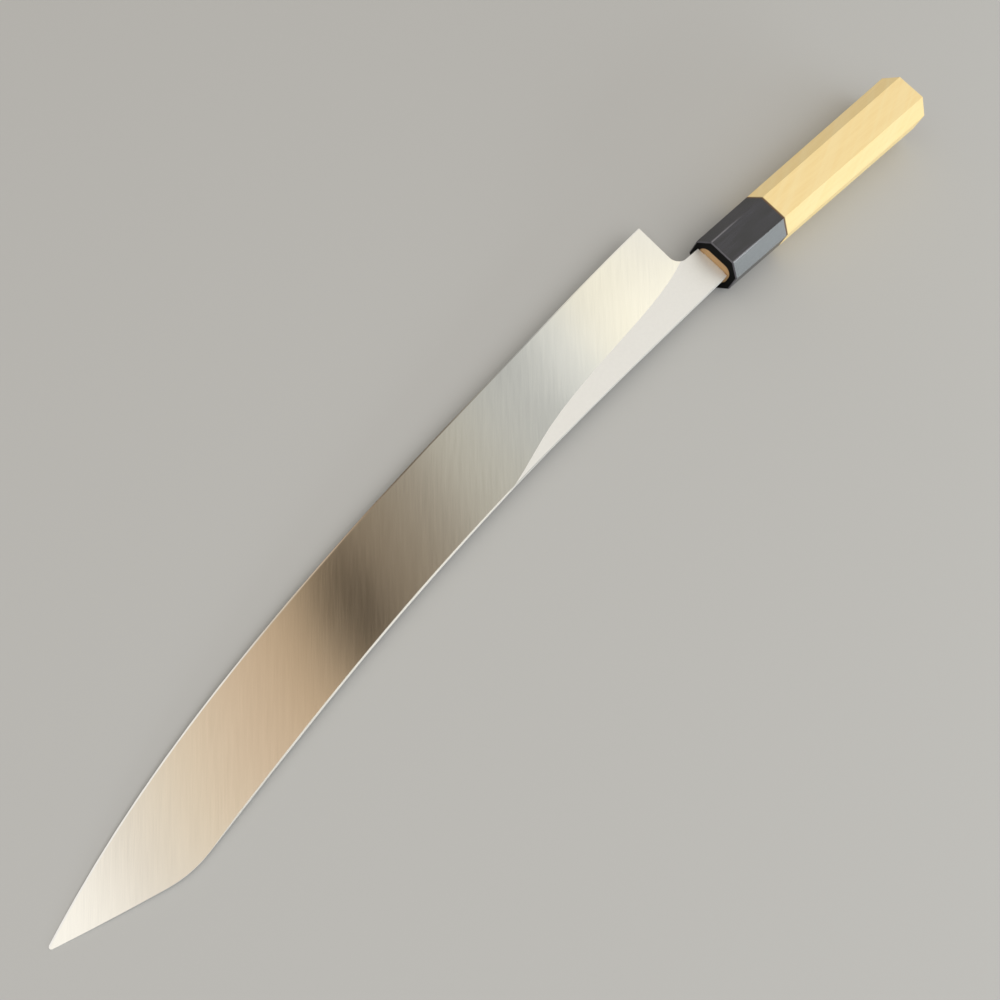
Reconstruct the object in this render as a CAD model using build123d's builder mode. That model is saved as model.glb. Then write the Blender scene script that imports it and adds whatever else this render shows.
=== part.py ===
from build123d import *
import math
import os

# Single-bevel slicing knife: a long blade with a clipped tip, its tang driven into an octagonal
# wooden grip whose tenon fills a horn ferrule. The pieces are drawn along the handle's axis, with
# X = 0 on the ferrule's front face, +X to the tip, +Y to the spine and +Z to the bevelled side.

# Blade outline, seen from the bevelled side
blade_reach = 334.0
tip_rise = 21.1
tip_radius = 0.8
heel_reach = 10.7
heel_drop = 32.2
neck_rise = 7.3
neck_drop = 9.0
choil_reach = 13.9
choil_radius = 4.5
clip_run = 39.6
clip_rise = 12.2
clip_bulge = 0.3
clip_corner_radius = 32.0
# Places on the edge between heel and tip, and on the spine between neck and clip corner,
# as shares of the run along X and of the rise along Y
edge_shares = ((0.1, 0.05), (0.25, 0.142), (0.45, 0.271), (0.7, 0.489), (0.88, 0.739))
spine_shares = ((0.2, 0.071), (0.4, 0.173), (0.55, 0.304), (0.72, 0.513), (0.87, 0.76))

# Blade thickness and grinds
neck_thickness = 3.4
corner_thickness = 2.0
# The eased upper edge of the spine: its full size, where it starts and ends as shares of the spine's
# length, and the shares of its size at even steps between. It is broadest past the ridge line's end.
spine_chamfer = 0.55
spine_start_share = 0.005
spine_end_share = 0.97
chamfer_shares = (
    (0.2, 0.2, 0.2, 0.2, 0.2, 0.2, 0.2, 0.2, 0.2, 0.2, 0.2, 0.22)
    + (0.28, 0.36, 0.46, 0.58, 0.7, 0.81, 0.9, 0.96, 1.0, 1.0, 1.0)
    + (0.99, 0.97, 0.95, 0.93, 0.9, 0.86, 0.8, 0.72, 0.6, 0.0)
)
edge_land = 0.1
edge_bevel_width = 0.5
edge_bevel_angle = 18.0
# The wide bevel's angle in degrees, at even steps of the edge's length from heel to tip
bevel_angles = (8.5, 6.92, 6.43, 6.19, 5.91, 5.39, 4.62, 4.2, 4.05, 3.9, 3.76, 3.62, 3.5, 3.38, 3.26, 3.15, 3.05)
# The hollow in the flat back: where it starts and ends as shares of the edge's length, and the
# shares of its full width that it reaches at even steps between
hollow_start_share = 0.03
hollow_end_share = 0.93
hollow_shares = (0.3, 0.86, 1.0, 1.0, 1.0, 1.0, 1.0, 1.0, 1.0, 1.0, 1.0, 1.0, 1.0, 0.97, 0.88, 0.5)
hollow_wheel_radius = 250.0
hollow_edge_rim = 1.8
hollow_spine_rim = 2.4
# How far the wheel's arc runs on past the back, as a share of the hollow's half width
hollow_arc_share = 1.1

# Tang
tang_length = 105.0
tang_root_width = 11.5
tang_end_width = 6.0
tang_root_thickness = 3.0
tang_end_thickness = 2.2
tang_end_bevel = 3.0

# Handle, an octagon that widens from the ferrule's front to the butt
handle_length = 152.0
ferrule_length = 36.1
ferrule_width = 22.6
ferrule_thickness = 18.3
butt_width = 26.65
broad_facet_width = 12.1
side_facet_height = 7.6
ridge_radius = 0.35
butt_ease_radius = 1.9
# The butt's rim is eased in flat cuts at these angles in degrees from the facets, round one radius
butt_ease_angles = (22.5, 45.0, 67.5)
ferrule_front_chamfer = 0.45
tenon_width = 16.6
tenon_thickness = 9.8
tenon_radius = 4.0
tenon_set_back = 0.3

# Fits
shoulder_gap = 0.1
tang_clearance = 0.15
tenon_clearance = 0.05
overrun = 2.0


def share_of(start, end, shares):
    """The point at the given shares of the runs from start to end."""
    across_share, up_share = shares
    return (
        start[0] + (end[0] - start[0]) * across_share,
        start[1] + (end[1] - start[1]) * up_share,
    )


def cross_plane(distance):
    """The plane square to the handle's axis, a distance behind the ferrule's front face."""
    return Plane(origin=(-distance, 0, 0), x_dir=(0, 1, 0), z_dir=(1, 0, 0))


# Blade outline, flat on its back

heel = (heel_reach, -heel_drop)
tip = (blade_reach, tip_rise)
clip_corner = (blade_reach - clip_run, tip_rise + clip_rise)
neck_top = (shoulder_gap, neck_rise)
neck_bottom = (shoulder_gap, -neck_drop)
choil_corner = (choil_reach, -neck_drop)
back_plane = Plane.XY.offset(-neck_thickness / 2)

with BuildSketch(back_plane) as outline:
    with BuildLine():
        cutting_edge = Spline(heel, *[share_of(heel, tip, s) for s in edge_shares], tip)
        SagittaArc(tip, clip_corner, -clip_bulge)
        spine_points = [share_of(neck_top, clip_corner, s) for s in spine_shares]
        spine = Spline(neck_top, *spine_points, clip_corner)
        Polyline(neck_top, neck_bottom, choil_corner, heel)
    make_face()
    fillet(outline.vertices().sort_by_distance(tip)[0], tip_radius)
    fillet(outline.vertices().sort_by_distance(clip_corner)[0], clip_corner_radius)
    fillet(outline.vertices().sort_by_distance(choil_corner)[0], choil_radius)
outline_face = outline.sketch_local.face()


def edge_station(share, run_on=0.0):
    """A point of the cutting edge and the plane there, square to the edge: x to the spine, y up."""
    along = cutting_edge % share
    foot = cutting_edge @ share + along * run_on
    across = along.rotate(Axis.Z, 90)
    origin = Vector(foot.X, foot.Y, -neck_thickness / 2)
    return Plane(origin=origin, x_dir=across, z_dir=along)


def blade_width(share):
    """The blade's width square to the cutting edge, at a share of the edge's length."""
    foot = cutting_edge @ share
    across = (cutting_edge % share).rotate(Axis.Z, 90)
    probe = Edge.make_line(foot, foot + across * blade_reach)
    return probe.intersect(outline_face).edge().length


# What the stones take away to make the wide bevel and the narrow one along its edge

edge_slope = math.tan(math.radians(edge_bevel_angle))
turn_height = edge_land + edge_bevel_width * edge_slope
stone_reach = edge_bevel_width + heel_drop + clip_rise
with BuildPart() as bevel_waste:
    for step, angle in enumerate(bevel_angles):
        share = step / (len(bevel_angles) - 1)
        far_height = turn_height + (stone_reach - edge_bevel_width) * math.tan(math.radians(angle))
        with BuildSketch(edge_station(share, run_on=overrun * (2 * share - 1))):
            with BuildLine():
                Polyline(
                    (-overrun, edge_land - overrun * edge_slope),
                    (edge_bevel_width, turn_height),
                    (stone_reach, far_height),
                    (stone_reach, far_height + neck_thickness),
                    (-overrun, far_height + neck_thickness),
                    close=True,
                )
            make_face()
    loft()

# What the grinding wheel takes from the back

with BuildPart() as hollow_waste:
    for step, fullness in enumerate(hollow_shares):
        progress = step / (len(hollow_shares) - 1)
        share = hollow_start_share + (hollow_end_share - hollow_start_share) * progress
        full_width = blade_width(share) - hollow_edge_rim - hollow_spine_rim
        middle = hollow_edge_rim + full_width / 2
        half_width = fullness * full_width / 2
        depth = half_width**2 / (2 * hollow_wheel_radius)
        past_back = depth * (1 - hollow_arc_share**2)
        with BuildSketch(edge_station(share)):
            with BuildLine():
                arc = ThreePointArc(
                    (middle - half_width * hollow_arc_share, past_back),
                    (middle, depth),
                    (middle + half_width * hollow_arc_share, past_back),
                )
                Line(arc @ 1, arc @ 0)
            make_face()
    loft()

# Ground blade, before its spine is eased and its tang added

taper_run = Vector(clip_corner[0], 0, corner_thickness - neck_thickness)
taper_plane = Plane(
    origin=(0, 0, neck_thickness / 2),
    x_dir=taper_run,
    z_dir=taper_run.cross(Vector(0, 1, 0)),
)
with BuildPart() as ground_blade:
    add(outline.sketch)
    extrude(amount=neck_thickness)
    split(bisect_by=taper_plane, keep=Keep.BOTTOM)
    add(bevel_waste.part, mode=Mode.SUBTRACT)
    add(hollow_waste.part, mode=Mode.SUBTRACT)

# What the file takes from the spine's upper edge


def top_height(point):
    """The height of the ground blade's upper face at a point of its outline."""
    below = Vector(point.X, point.Y, -neck_thickness)
    above = Vector(point.X, point.Y, neck_thickness)
    inside = Edge.make_line(below, above).intersect(ground_blade.part)
    return max(vertex.Z for vertex in inside.vertices())


with BuildPart() as spine_waste:
    for step, fullness in enumerate(chamfer_shares):
        progress = step / (len(chamfer_shares) - 1)
        share = spine_start_share + (spine_end_share - spine_start_share) * progress
        size = spine_chamfer * fullness
        along = spine % share
        outwards = along.rotate(Axis.Z, 90)
        height = top_height(spine @ share - outwards * spine_chamfer)
        top_corner = Vector((spine @ share).X, (spine @ share).Y, height)
        with BuildSketch(Plane(origin=top_corner, x_dir=outwards, z_dir=along)):
            with BuildLine():
                Polyline(
                    (-size - overrun, overrun),
                    (overrun, -size - overrun),
                    (overrun, overrun),
                    close=True,
                )
            make_face()
    loft(ruled=True)

# Tang: a tapered bar, also the shape of the mortise that holds it


def tang_section(distance, clearance=0.0):
    """The tang's section a distance behind the ferrule's front face, with a clearance all round."""
    taper = distance / tang_length
    width = tang_root_width + (tang_end_width - tang_root_width) * taper
    thickness = tang_root_thickness + (tang_end_thickness - tang_root_thickness) * taper
    with BuildSketch(cross_plane(distance)) as section:
        Rectangle(width + 2 * clearance, thickness + 2 * clearance)
    return section.sketch


with BuildPart() as blade:
    add(ground_blade.part)
    add(spine_waste.part, mode=Mode.SUBTRACT)
    loft([tang_section(-overrun), tang_section(tang_length)])
    tang_corner = blade.edges().filter_by(Axis.Z).group_by(Axis.X)[0].sort_by(Axis.Y)[0]
    chamfer(tang_corner, tang_end_bevel)


# Handle: an octagonal bar planed to eight flat facets that widen evenly towards the butt


def octagon_corners(distance):
    """The corners of the handle's octagon, a distance behind the ferrule's front face."""
    spread = 1 + (butt_width / ferrule_width - 1) * distance / handle_length
    broad_y = broad_facet_width * spread / 2
    broad_z = ferrule_thickness * spread / 2
    side_y = ferrule_width * spread / 2
    side_z = side_facet_height * spread / 2
    quarter = [(side_y, side_z), (broad_y, broad_z)]
    half = quarter + [(-y, z) for y, z in reversed(quarter)]
    return [Vector(-distance, y, z) for y, z in half + [(-y, -z) for y, z in half]]


front_corners = octagon_corners(0)
butt_corners = octagon_corners(handle_length)
with BuildPart() as planed_bar:
    with BuildSketch(cross_plane(0)):
        Rectangle(2 * butt_width, 2 * butt_width)
    extrude(amount=-handle_length)
    for corner in range(len(front_corners)):
        along_front = front_corners[corner - 1] - front_corners[corner]
        along_ridge = butt_corners[corner] - front_corners[corner]
        facet = Plane(
            origin=front_corners[corner],
            x_dir=along_ridge,
            z_dir=along_front.cross(along_ridge),
        )
        split(bisect_by=facet, keep=Keep.BOTTOM)


def rim_plane(corner, angle):
    """The plane of one cut on the butt's rim, turned by an angle from the facet that ends at a corner."""
    along_rim = butt_corners[corner - 1] - butt_corners[corner]
    along_ridge = butt_corners[corner] - front_corners[corner]
    facet_normal = along_rim.cross(along_ridge).normalized()
    butt_normal = Vector(-1, 0, 0)
    turn = math.radians(angle)
    cut_normal = (facet_normal * math.cos(turn) + butt_normal * math.sin(turn)).normalized()
    centre = butt_corners[corner] - (facet_normal + butt_normal) * butt_ease_radius
    return Plane(origin=centre + cut_normal * butt_ease_radius, x_dir=along_rim, z_dir=cut_normal)


def is_ridge(edge):
    """Whether an edge runs along the handle, between two facets."""
    return abs((edge % 0).X) > abs((edge % 0).Y) + abs((edge % 0).Z)


def tenon_section(distance, clearance=0.0):
    """The tenon's rounded section, a distance behind the ferrule's front face."""
    with BuildSketch(cross_plane(distance)) as section:
        RectangleRounded(
            tenon_width + 2 * clearance,
            tenon_thickness + 2 * clearance,
            tenon_radius + clearance,
        )
    return section.sketch


with BuildPart() as ferrule:
    add(planed_bar.part)
    split(bisect_by=cross_plane(ferrule_length), keep=Keep.TOP)
    chamfer(ferrule.faces().sort_by(Axis.X)[-1].edges(), ferrule_front_chamfer)
    fillet(ferrule.edges().filter_by(is_ridge).group_by(Edge.length)[-1], ridge_radius)
    mouth = tenon_section(-overrun, tenon_clearance)
    extrude(mouth, amount=-ferrule_length - 2 * overrun, mode=Mode.SUBTRACT)

with BuildPart() as grip:
    add(planed_bar.part)
    split(bisect_by=cross_plane(ferrule_length), keep=Keep.BOTTOM)
    fillet(grip.edges().filter_by(is_ridge), ridge_radius)
    for corner in range(len(butt_corners)):
        for angle in butt_ease_angles:
            split(bisect_by=rim_plane(corner, angle), keep=Keep.BOTTOM)
    extrude(tenon_section(tenon_set_back), amount=-ferrule_length)
    mortise_mouth = tang_section(-overrun, tang_clearance)
    mortise_end = tang_section(tang_length + tang_clearance, tang_clearance)
    loft([mortise_mouth, mortise_end], mode=Mode.SUBTRACT)

# The knife lies bevel up, on the lower front edge of its ferrule and on its tip, with the butt
# just clear of the table. The origin is on the table, under the middle of the knife.

rest_length = outline_face.bounding_box().max.X + ferrule_front_chamfer
rest_rise = (ferrule_thickness - neck_thickness) / 2
lean = math.degrees(math.atan2(rest_rise, rest_length))
pieces = [blade.part, ferrule.part, grip.part]
for piece in pieces:
    piece.locate(Rotation(0, lean, 0))
bounds = Compound(pieces).bounding_box()
resting_place = Location((-bounds.center().X, -bounds.center().Y, -bounds.min.Z))
for piece in pieces:
    piece.locate(resting_place * piece.location)

os.makedirs("parts", exist_ok=True)

blade.part.label = "blade"
export_step(blade.part, "parts/blade.step")

ferrule.part.label = "ferrule"
export_step(ferrule.part, "parts/ferrule.step")

grip.part.label = "grip"
export_step(grip.part, "parts/grip.step")
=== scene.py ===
import math

import bpy
from mathutils import Matrix, Vector

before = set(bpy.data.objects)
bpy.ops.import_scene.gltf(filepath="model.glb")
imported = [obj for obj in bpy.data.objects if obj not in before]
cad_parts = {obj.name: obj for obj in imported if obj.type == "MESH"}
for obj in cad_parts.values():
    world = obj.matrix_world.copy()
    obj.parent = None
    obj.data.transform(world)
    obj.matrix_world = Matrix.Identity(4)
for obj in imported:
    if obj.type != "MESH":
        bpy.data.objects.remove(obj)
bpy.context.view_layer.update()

# Blade and tang: one forging of carbon steel. A wide bevel is ground on the upper side up to a ridge line, a
# narrow one along its edge, and a shallow hollow in the back. The bevel is brushed slantwise, and the flat
# above the ridge line finer. The tang is burnt into the grip.

# Places along the blade, in millimetres
heel_x = -79.5
tip_x = 242.3
ridge_end_x = 45.0  # where the ridge line runs out into the spine
polish_start_x = ridge_end_x - 12
polish_full_x = ridge_end_x + 8

# Shares of the surface's direction between which each part of the blade starts
turned_up = (0.3, 0.6)
bevel_lean = (0.015, 0.03)
edge_lean = (0.2, 0.25)
spine_lean = (0.4, 0.6)
spine_turn = (0.3, 0.5)

# Brush marks: their slant, and their waves per millimetre across and along them
brush_cotangent_at_heel = 1.13
brush_cotangent_at_tip = 0.80
fine_waves = (2.8, 0.10)
broad_waves = (0.5, 0.06)
cloud_waves = (0.04, 0.03)
fine_share = 0.65
least_contrast = 0.55
mark_contrast = (0.3, 0.7)  # the mark heights that give the darkest and the lightest colour

# Colours, and the shares of them between which the marks swing
bevel_colour = (0.80, 0.79, 0.77)
bevel_swing = (0.95, 1.04)
flat_colour = (0.885, 0.88, 0.865)
flat_swing = (0.99, 1.01)
back_colour = (0.80, 0.79, 0.77)
back_swing = (0.93, 1.0)
spine_colour = (0.50, 0.495, 0.47)
polished_spine_colour = (0.49, 0.45, 0.40)
honed_colour = (0.80, 0.79, 0.77)
# The honed edge's darker colour is painted shade, for the dimmer light along the middle of the blade
painted_shade_honed_colour = (0.58, 0.57, 0.545)


class Shade:
    """A value in a material's node tree. Sums and products of such values add Math nodes."""

    def __init__(self, tree, socket=None):
        self.tree = tree
        self.socket = socket

    def node(self, kind, settings=None, inputs=None, output=0):
        """Adds a node, gives it its settings, then its sockets' values or links, and returns an output."""
        made = self.tree.nodes.new(kind)
        for name, value in (settings or {}).items():
            if name == "stops":
                ramp = made.color_ramp
                while len(ramp.elements) < len(value):
                    ramp.elements.new(0.5)
                for element, (position, colour) in zip(ramp.elements, value):
                    element.position = position
                    element.color = (*colour, 1.0)
            else:
                setattr(made, name, value)
        for name, value in (inputs or {}).items():
            if isinstance(value, Shade):
                self.tree.links.new(value.socket, made.inputs[name])
            else:
                made.inputs[name].default_value = value
        return Shade(self.tree, made.outputs[output])

    def maths(self, operation, *values):
        return self.node("ShaderNodeMath", {"operation": operation}, dict(enumerate(values)))

    def __add__(self, other):
        return self.maths("ADD", self, other)

    def __radd__(self, other):
        return self.maths("ADD", other, self)

    def __sub__(self, other):
        return self.maths("SUBTRACT", self, other)

    def __rsub__(self, other):
        return self.maths("SUBTRACT", other, self)

    def __mul__(self, other):
        return self.maths("MULTIPLY", self, other)

    def __rmul__(self, other):
        return self.maths("MULTIPLY", other, self)

    def __truediv__(self, other):
        return self.maths("DIVIDE", self, other)

    def size(self):
        """This value without its sign."""
        return self.maths("ABSOLUTE", self)

    def parts(self):
        """The X, Y and Z of a point or direction."""
        split = self.node("ShaderNodeSeparateXYZ", inputs={0: self})
        return [Shade(self.tree, output) for output in split.socket.node.outputs]

    def place(self):
        """The point's X, Y and Z on the object, in millimetres."""
        return [part * 1000 for part in self.node("ShaderNodeTexCoord", output="Object").parts()]

    def facing(self):
        """The surface's own direction, as its X, Y and Z shares."""
        return self.node("ShaderNodeNewGeometry", output="True Normal").parts()

    def step(self, low, high):
        """0 where this value is below low, 1 above high, and a smooth rise between."""
        return self.node(
            "ShaderNodeMapRange",
            {"interpolation_type": "SMOOTHSTEP"},
            {"Value": self, "From Min": low, "From Max": high},
        )

    def noise(self, x, y, z, detail=2.0, roughness=0.5):
        """Soft noise from 0 to 1 in the space of three values."""
        point = self.node("ShaderNodeCombineXYZ", inputs={0: x, 1: y, 2: z})
        return self.node(
            "ShaderNodeTexNoise",
            {"noise_dimensions": "3D"},
            {"Vector": point, "Scale": 1.0, "Detail": detail, "Roughness": roughness},
        )

    def marks(self, x, y, z, along, across, detail=2.0, roughness=0.5):
        """Noise drawn out lengthwise, by its waves per millimetre along the knife and across it."""
        return self.noise(x * along, y * across, z * across, detail, roughness)

    def mix(self, share, first, second):
        """A colour between two, by a share from 0 to 1."""
        colours = {
            name: value if isinstance(value, Shade) else (*value, 1.0)
            for name, value in ((6, first), (7, second))
        }
        return self.node("ShaderNodeMix", {"data_type": "RGBA"}, {0: share, **colours}, output=2)

    def swing(self, height, colour, shares):
        """A colour that swings between two shares of itself with the height of its marks."""
        dark, light = ([part * share for part in colour] for share in shares)
        return self.mix(height.step(*mark_contrast), dark, light)

    def bump(self, strength, depth, height):
        """A surface direction for small marks of a height from 0 to 1, their depth in metres."""
        return self.node("ShaderNodeBump", inputs={"Strength": strength, "Distance": depth, "Height": height})

    def finish(self, uniform, varying):
        """Fills the shader, with uniform values on its sockets and varying ones as links, and returns it."""
        shader = self.tree.nodes["Principled BSDF"]
        for name, value in uniform.items():
            shader.inputs[name].default_value = value
        for name, value in varying.items():
            self.tree.links.new(value.socket, shader.inputs[name])
        return Shade(self.tree, shader.outputs["BSDF"])


def blend(share, first, second):
    """A value between two, by a share from 0 to 1."""
    return first + share * (second - first)


def new_finish(name):
    """A new material, and the start of its node tree."""
    material = bpy.data.materials.new(name)
    material.use_nodes = True
    return material, Shade(material.node_tree)


steel, start = new_finish("brushed steel")
x, y, z = start.place()
facing_spine, facing_up = start.facing()[1:]
facing_edge = 0.0 - facing_spine

# The bevel, the narrow bevel along its edge, the back and the eased spine, each told by where it faces
upper_side = facing_up.step(*turned_up)
lower_side = (0.0 - facing_up).step(*turned_up)
bevel = facing_edge.step(*bevel_lean) * upper_side
honed_edge = facing_edge.step(*edge_lean) * upper_side
eased_spine = facing_spine.step(*spine_lean) * facing_up.step(*spine_turn)
polished_spine = eased_spine * x.step(polish_start_x, polish_full_x)

# The marks: brushing slantwise over the bevel, long lines in the back, a plain satin on the flat
from_heel = (x - heel_x) / (tip_x - heel_x)
brush_cotangent = blend(from_heel, brush_cotangent_at_heel, brush_cotangent_at_tip)
across_brush = x - y * brush_cotangent
fine_lines = start.noise(across_brush * fine_waves[0], y * fine_waves[1], 0.0, roughness=0.6)
broad_lines = start.noise(across_brush * broad_waves[0], y * broad_waves[1], 7.0, detail=1.0)
clouds = start.noise(across_brush * cloud_waves[0], y * cloud_waves[1], 3.0, detail=1.0)
long_lines = start.marks(x, y, z, along=0.02, across=3.0, detail=3.0, roughness=0.6)
satin = start.marks(x, y, z, along=0.9, across=0.9, detail=3.0, roughness=0.6)
brushing = fine_lines * fine_share + broad_lines * (1 - fine_share)

# The brushing shows most about two fifths of the way to the tip; there the honed edge is painted darker, a
# painted shade
brushed_most = from_heel.step(0.15, 0.4) * (1 - from_heel.step(0.45, 0.7))
brushing_tone = 0.5 + (brushing - 0.5) * (least_contrast + brushed_most * (1 - least_contrast))
painted_edge_shade = from_heel.step(0.05, 0.3) * (1 - from_heel.step(0.45, 0.7))

steel_tone = start.mix(
    bevel,
    start.swing(satin, flat_colour, flat_swing),
    start.swing(brushing_tone, bevel_colour, bevel_swing),
)
steel_tone = start.mix(lower_side, steel_tone, start.swing(long_lines, back_colour, back_swing))
steel_tone = start.mix(eased_spine, steel_tone, spine_colour)
steel_tone = start.mix(polished_spine, steel_tone, polished_spine_colour)
# Painted shade: the honed edge darker along the middle of the blade
steel_tone = start.mix(honed_edge, steel_tone, start.mix(painted_edge_shade, honed_colour, painted_shade_honed_colour))

flat_roughness = 0.72 + satin * 0.05
bevel_roughness = 0.10 + brushing * 0.05 + clouds * 0.03
back_roughness = 0.26 + long_lines * 0.08
polished_spine_roughness = 0.45
steel_roughness = blend(bevel, flat_roughness, bevel_roughness)
steel_roughness = blend(lower_side, steel_roughness, back_roughness)
steel_roughness = blend(polished_spine, steel_roughness, polished_spine_roughness)
mark_height = bevel * brushing + lower_side * long_lines * 0.8 + (1 - bevel) * satin * 0.15
start.finish(
    {"Metallic": 1.0},
    {
        "Base Color": steel_tone,
        "Roughness": steel_roughness,
        "Normal": start.bump(0.06, 0.00006, mark_height),
    },
)

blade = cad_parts["blade"]
blade.data.materials.clear()
blade.data.materials.append(steel)

# Ferrule: a ring of black buffalo horn, bored for the grip's tenon and glued on. Its octagon is planed
# together with the grip's and polished, and its front face is left as sawn.

# Sizes in millimetres
handle_front_x = -90.136
handle_axis_y = -0.18
ridge_y = 6.05  # from the axis to the upper ridges, at the front
ridge_spread = 0.0073  # how much farther out they are for each millimetre behind it
# The upper ridges get a painted highlight, a light line near the front: its width, and where it fades out
# behind the front
ridge_highlight_width = (0.12, 0.55)
ridge_highlight_end = (4.0, 26.0)

# Shares of the surface's direction between which the rim, the front face and the upper side start
rim_facing = (0.3, 0.5)
front_facing = (0.85, 0.95)
ridge_facing = (0.4, 0.6)

mottle_contrast = (0.38, 0.66)
dark_horn = (0.004, 0.004, 0.006)
light_horn = (0.019, 0.018, 0.027)
# The front rim's light colour is a painted highlight on the black horn
rim_highlight_colour = (0.105, 0.10, 0.115)
ridge_highlight_colour = (0.17, 0.165, 0.185)
front_colour = (0.002, 0.002, 0.002)
sawn_colour = (0.006, 0.006, 0.006)
sawn_share = 0.8

horn, start = new_finish("polished horn")
x, y, z = start.place()
facing_front, _, facing_up = start.facing()

front_face = facing_front.step(*front_facing)
front_rim = facing_front.step(*rim_facing) * (1 - front_face)
from_front = handle_front_x - x
from_ridge = ((y - handle_axis_y).size() - from_front * ridge_spread - ridge_y).size()
on_ridge = (1 - from_ridge.step(*ridge_highlight_width)) * facing_up.step(*ridge_facing) * (1 - front_rim)
painted_ridge_highlight = on_ridge * (1 - from_front.step(*ridge_highlight_end))

# Streaks and clouds run along the horn, and its polish leaves faint scratches
streaks = start.marks(x, y, z, along=0.05, across=0.9, detail=4.0, roughness=0.6)
clouds = start.marks(x, y, z, along=0.04, across=0.12)
scratches = start.marks(x, y, z, along=0.15, across=5.0)
mottle = (streaks * 0.5 + clouds * 0.5).step(*mottle_contrast)
horn_tone = start.mix(mottle, dark_horn, light_horn)
# Painted highlight: the front rim lighter, varied by the streaks
horn_tone = start.mix(front_rim * (0.6 + streaks * 0.4), horn_tone, rim_highlight_colour)
# Painted highlight: the upper ridges lighter near the front
horn_tone = start.mix(painted_ridge_highlight, horn_tone, ridge_highlight_colour)
horn_tone = start.mix(front_face, horn_tone, front_colour)
polished = start.finish(
    {"Metallic": 0.0, "IOR": 1.5},
    {
        "Base Color": horn_tone,
        "Roughness": 0.20 + streaks * 0.04 + front_face * 0.3,
        "Normal": start.bump(0.02, 0.00004, scratches),
    },
)
sawn = start.node("ShaderNodeBsdfDiffuse", inputs={"Color": (*sawn_colour, 1.0)})
horn_shader = start.node("ShaderNodeMixShader", inputs={0: front_face * sawn_share, 1: polished, 2: sawn})
start.tree.links.new(horn_shader.socket, start.tree.nodes["Material Output"].inputs["Surface"])

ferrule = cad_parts["ferrule"]
ferrule.data.materials.clear()
ferrule.data.materials.append(horn)

# Grip: an octagonal bar of pale magnolia wood, planed and sanded smooth. Its tenon fills the ferrule, and the
# tang sits in a tapered hole in it.

# Sizes in millimetres
handle_axis_z = 9.1425
ferrule_length = 36.1
glue_line_width = 1.5
glue_line_core = glue_line_width * 0.4
wander_reach = 4.0  # how far the grain wanders sideways

handle_lean = math.radians(1.2816)
end_facing = (0.8, 0.95)

# The figure: its slant, its waves per millimetre across and along it, and its strength
figure_cotangent = 2.6
figure_waves = (0.16, 0.03)
figure_contrast = (0.35, 0.7)
figure_share = 0.5

grain_contrast = (0.3, 0.7)
pore_contrast = (0.62, 0.8)
pore_share = 0.06
ring_waves = (0.35, 1.6)  # per millimetre of the end grain, across it and down it
dark_grain = (0.93, 0.71, 0.33)
light_grain = (0.96, 0.75, 0.37)
figure_colour = (0.965, 0.785, 0.425)
pore_colour = (0.74, 0.52, 0.25)
dark_end_grain = (0.52, 0.315, 0.145)
light_end_grain = (0.60, 0.375, 0.175)
glue_colour = (0.10, 0.05, 0.02)

wood, start = new_finish("pale wood")
x, y, z = start.place()
end_grain = start.facing()[0].size().step(*end_facing)
behind_front = (handle_front_x - x) * math.cos(handle_lean) + (z - handle_axis_z) * math.sin(handle_lean)
glue_line = 1 - (behind_front - ferrule_length).size().step(glue_line_core, glue_line_width)

# Grain runs along the bar and wanders a little, and the figure lies slantwise over it
wander = start.marks(x, y, z, along=0.02, across=0.05, detail=1.0) * wander_reach
grain = start.marks(x, y + wander, z + wander, along=0.02, across=0.7, detail=3.0, roughness=0.55)
pores = start.marks(x, y, z, along=0.25, across=5.0, roughness=0.7)
across_figure = x - y * figure_cotangent
figure = start.noise(across_figure * figure_waves[0], y * figure_waves[1], z * figure_waves[1])
rings = start.noise(y * ring_waves[0], z * ring_waves[1], 4.0, detail=3.0, roughness=0.6)

wood_tone = start.mix(grain.step(*grain_contrast), dark_grain, light_grain)
wood_tone = start.mix(figure.step(*figure_contrast) * figure_share, wood_tone, figure_colour)
wood_tone = start.mix(pores.step(*pore_contrast) * pore_share, wood_tone, pore_colour)
end_tone = start.mix(rings.step(*grain_contrast), dark_end_grain, light_end_grain)
wood_tone = start.mix(end_grain, wood_tone, end_tone)
wood_tone = start.mix(glue_line * (1 - end_grain), wood_tone, glue_colour)
start.finish(
    {"Metallic": 0.0, "IOR": 1.45},
    {
        "Base Color": wood_tone,
        "Roughness": 0.48 + grain * 0.1,
        "Normal": start.bump(0.15, 0.00006, grain * 0.6 + pores * 0.4),
    },
)

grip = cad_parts["grip"]
grip.data.materials.clear()
grip.data.materials.append(wood)

# Floor: a plain pale sheet that fills the view. It is matt, so that it mirrors nothing and takes the knife's
# soft shadow.

floor_size = 12.0  # metres
floor_colour = (0.50, 0.50, 0.495)

bpy.ops.mesh.primitive_plane_add(size=floor_size)
floor = bpy.context.object
floor.name = "floor"
floor_paint, start = new_finish("floor paint")
start.finish({"Base Color": (*floor_colour, 1.0), "Roughness": 0.9}, {})
floor.data.materials.append(floor_paint)

# Overhead panel: a large soft light with a dim, warm middle, which the satin steel shows as a dark band
# across the blade. It brightens slowly to the handle's side and faster to the tip's.

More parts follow.
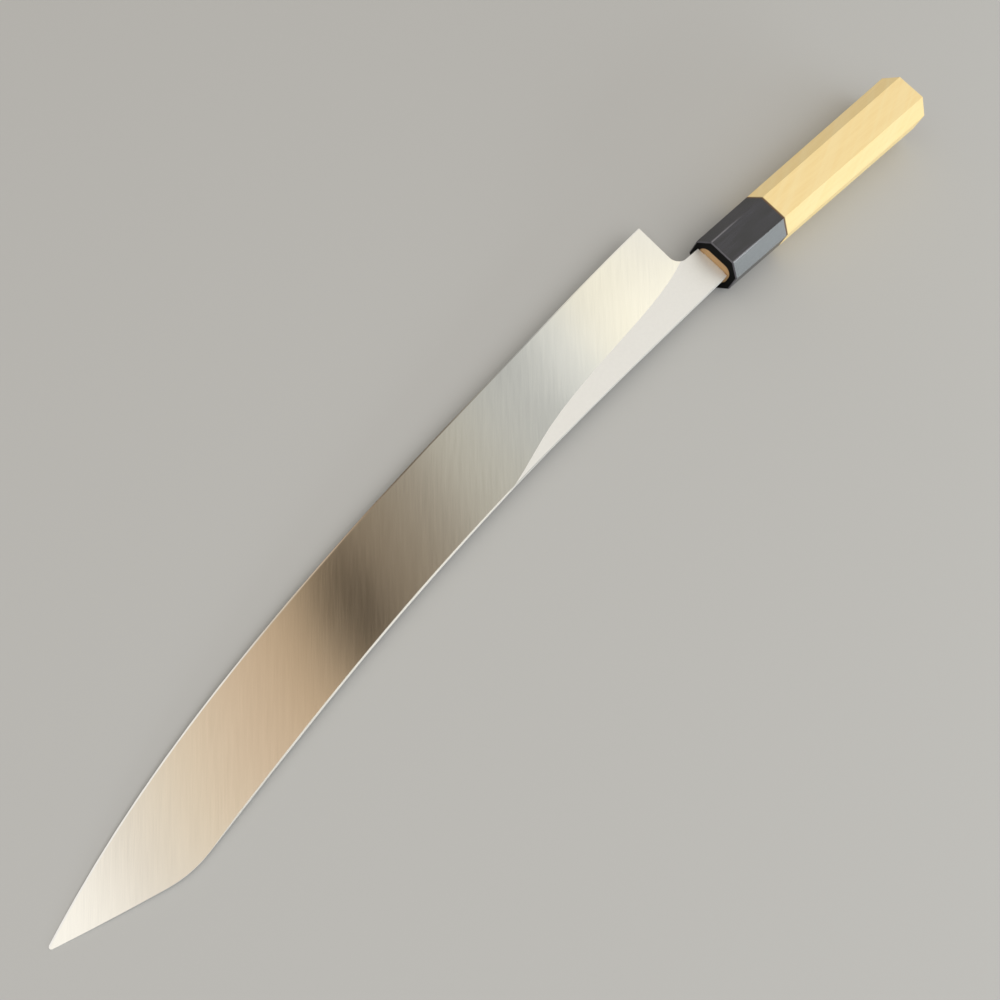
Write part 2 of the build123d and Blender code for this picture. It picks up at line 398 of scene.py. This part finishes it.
# Sizes in metres
panel_size = 3.4
panel_place = (-0.3, 0.45, 1.0)
middle_x = -0.095
middle_y = -0.27
middle_skew = 0.3  # how far the middle moves along the knife, for each metre across it
back_start_y = -0.20
back_weight = 1.1
front_start_y = -0.30
front_weight = 0.8
front_most = 0.045
glow_reach = 1.4
outer_side_y = (-0.50, -0.41)
outer_side_loss = 0.13
handle_stops = [
    (0.0, (0.0, 0.0, 0.0)),
    (0.02, (0.04, 0.025, 0.012)),
    (0.049, (0.26, 0.20, 0.135)),
    (0.086, (0.31, 0.25, 0.175)),
    (0.145, (0.385, 0.34, 0.27)),
    (0.17, (0.53, 0.495, 0.41)),
    (0.19, (0.595, 0.57, 0.48)),
    (0.249, (0.595, 0.605, 0.575)),
    (0.305, (0.56, 0.57, 0.545)),
    (0.365, (0.97, 0.99, 0.95)),
    (0.42, (1.17, 1.11, 0.915)),
    (0.465, (1.33, 1.27, 1.035)),
    (0.55, (1.18, 1.15, 1.05)),
    (0.86, (1.25, 1.24, 1.22)),
]
tip_stops = [
    (0.0, (0.0, 0.0, 0.0)),
    (0.012, (0.06, 0.04, 0.02)),
    (0.033, (0.37, 0.28, 0.18)),
    (0.06, (0.60, 0.435, 0.27)),
    (0.10, (0.70, 0.525, 0.355)),
    (0.14, (0.76, 0.585, 0.415)),
    (0.193, (0.85, 0.70, 0.515)),
    (0.236, (0.91, 0.805, 0.645)),
    (0.272, (0.885, 0.81, 0.70)),
    (0.337, (1.23, 1.19, 1.09)),
    (0.86, (1.25, 1.24, 1.22)),
]

bpy.ops.mesh.primitive_plane_add(size=panel_size, location=panel_place)
panel = bpy.context.object
panel.name = "overhead panel"
panel_glow, start = new_finish("panel glow")
along, beside, _ = start.node("ShaderNodeNewGeometry", output="Position").parts()
from_middle = along - (beside - middle_y) * middle_skew - middle_x
behind = start.maths("MAXIMUM", beside - back_start_y, 0.0) * back_weight
before = start.maths("MINIMUM", beside - front_start_y, 0.0) * front_weight
before = start.maths("MAXIMUM", before, -front_most)
distance_squared = from_middle * from_middle + behind * behind + before * before
distance = start.maths("SQRT", distance_squared) / glow_reach
handle_glow = start.node("ShaderNodeValToRGB", {"stops": handle_stops}, {"Fac": distance})
tip_glow = start.node("ShaderNodeValToRGB", {"stops": tip_stops}, {"Fac": distance})
glow_colour = start.mix(from_middle.step(-0.01, 0.01), handle_glow, tip_glow)
outer_side = 1 - beside.step(*outer_side_y)
glow_colour = start.mix(outer_side * outer_side_loss, glow_colour, (0.0, 0.0, 0.0))
start.finish(
    {
        "Base Color": (0.0, 0.0, 0.0, 1.0),
        "Roughness": 1.0,
        "Specular IOR Level": 0.0,
        "Emission Strength": 1.0,
    },
    {"Emission Color": glow_colour},
)
panel.data.materials.append(panel_glow)
panel.visible_camera = False

# Key lamp: a long, low, soft lamp beyond the spine, which lights the handle's facets on that side. The studio
# around it is a plain pale grey.

lamp_place = (-0.65, 1.15, 0.21)
lamp_aim = (-0.5, 0.0, 0.0)
studio_colour = (0.80, 0.79, 0.80)
studio_strength = 0.65

bpy.ops.object.light_add(type="AREA", location=lamp_place)
key_lamp = bpy.context.object
key_lamp.name = "key lamp"
key_lamp.data.shape = "RECTANGLE"
key_lamp.data.size = 1.6
key_lamp.data.size_y = 0.20
key_lamp.data.energy = 6.3
key_lamp.data.color = (0.90, 0.985, 1.0)
key_lamp.rotation_euler = (Vector(lamp_aim) - key_lamp.location).to_track_quat("-Z", "Y").to_euler()
key_lamp.visible_camera = False

studio = bpy.data.worlds.new("studio")
studio.use_nodes = True
bpy.context.scene.world = studio
background = studio.node_tree.nodes["Background"]
background.inputs["Color"].default_value = (*studio_colour, 1.0)
background.inputs["Strength"].default_value = studio_strength

# Camera: over the tip, looking back along the knife to its handle.

stand = Vector((0.207213, 0.050418, 0.317614))
to_right = Vector((-0.66748, 0.70320, 0.24491))
backwards = Vector((0.44049, 0.10769, 0.89127))
upwards = backwards.cross(to_right)

bpy.ops.object.camera_add()
camera = bpy.context.object
camera.data.lens = 36.0
camera.data.sensor_width = 36.0
camera.data.clip_start = 0.01
camera.data.clip_end = 100.0
turn = Matrix((to_right, upwards, backwards)).transposed().to_4x4()
camera.matrix_world = Matrix.Translation(stand) @ turn
bpy.context.scene.camera = camera
bpy.context.scene.view_settings.view_transform = "Standard"
